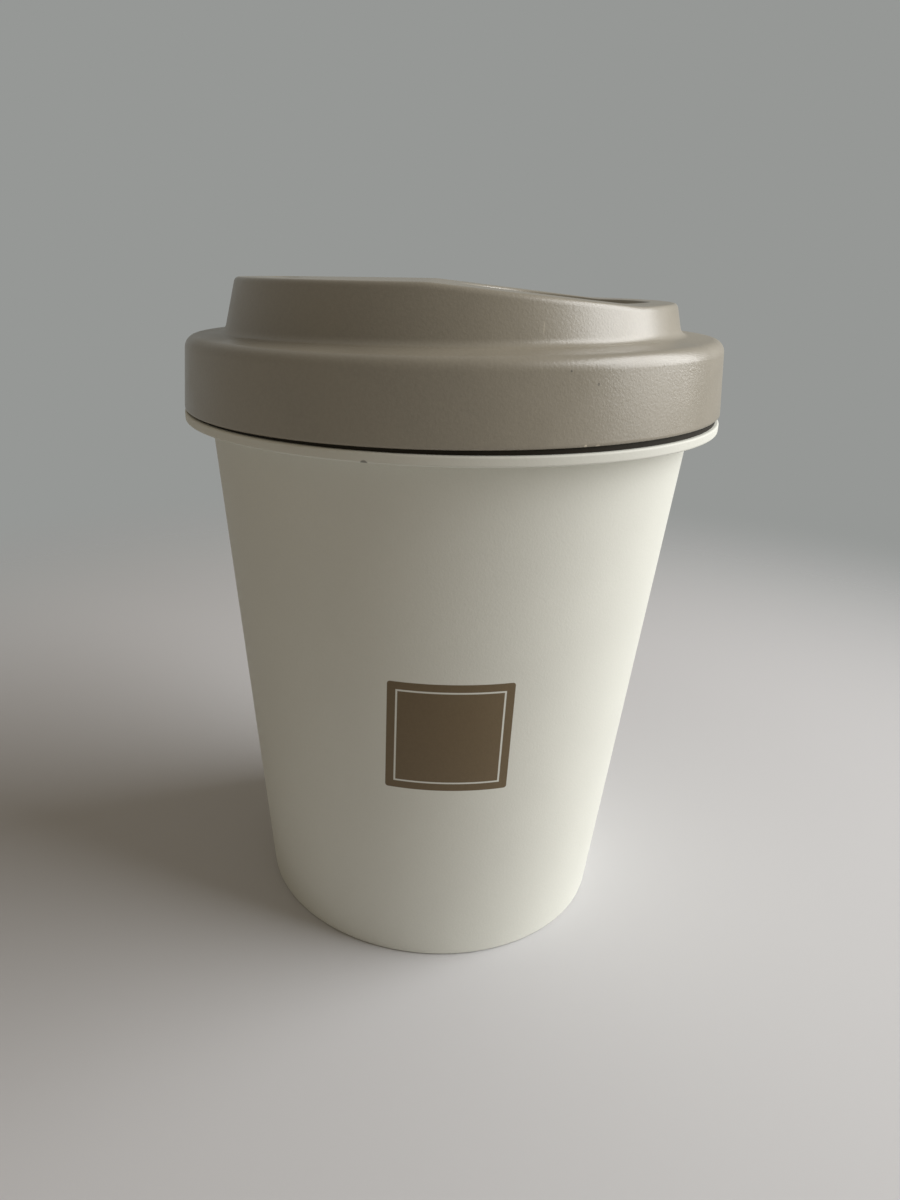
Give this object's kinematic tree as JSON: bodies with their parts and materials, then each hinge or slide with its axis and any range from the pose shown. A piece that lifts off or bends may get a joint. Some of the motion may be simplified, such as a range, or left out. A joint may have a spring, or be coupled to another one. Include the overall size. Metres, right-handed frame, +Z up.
{
  "type": "coffee mug",
  "caption": "Tapered reusable coffee mug with a flat rim flange and a push-in sip lid that a soft ring seals in the mouth and on the flange.",
  "frame": {"origin": "centre of the foot, on the plane that the mug stands on", "axes": "+Z up along the cup's axis, -X towards the drinking side of the lid, -Y towards the printed field"},
  "size_m": [0.09, 0.09, 0.1132],
  "materials": {
    "cup": "fine matte, cream, with a plain printed square field",
    "lid": "satin with a fine moulded grain, taupe",
    "seal": "soft silicone, dark grey brown"
  },
  "bodies": {
    "cup": {"cup": "cup"},
    "seal": {"seal_ring": "seal"},
    "lid": {"lid": "lid"}
  },
  "joints": [
    {"name": "lid_lift", "type": "slide", "parent": "cup", "child": "seal", "axis": [0, 0, 1], "range_m": [0, 0.09]},
    {"name": "lid_turn", "type": "hinge", "parent": "seal", "child": "lid", "pos_m": [0, 0, 0.09314], "axis": [-0.0087, 0, 1], "continuous": true}
  ]
}
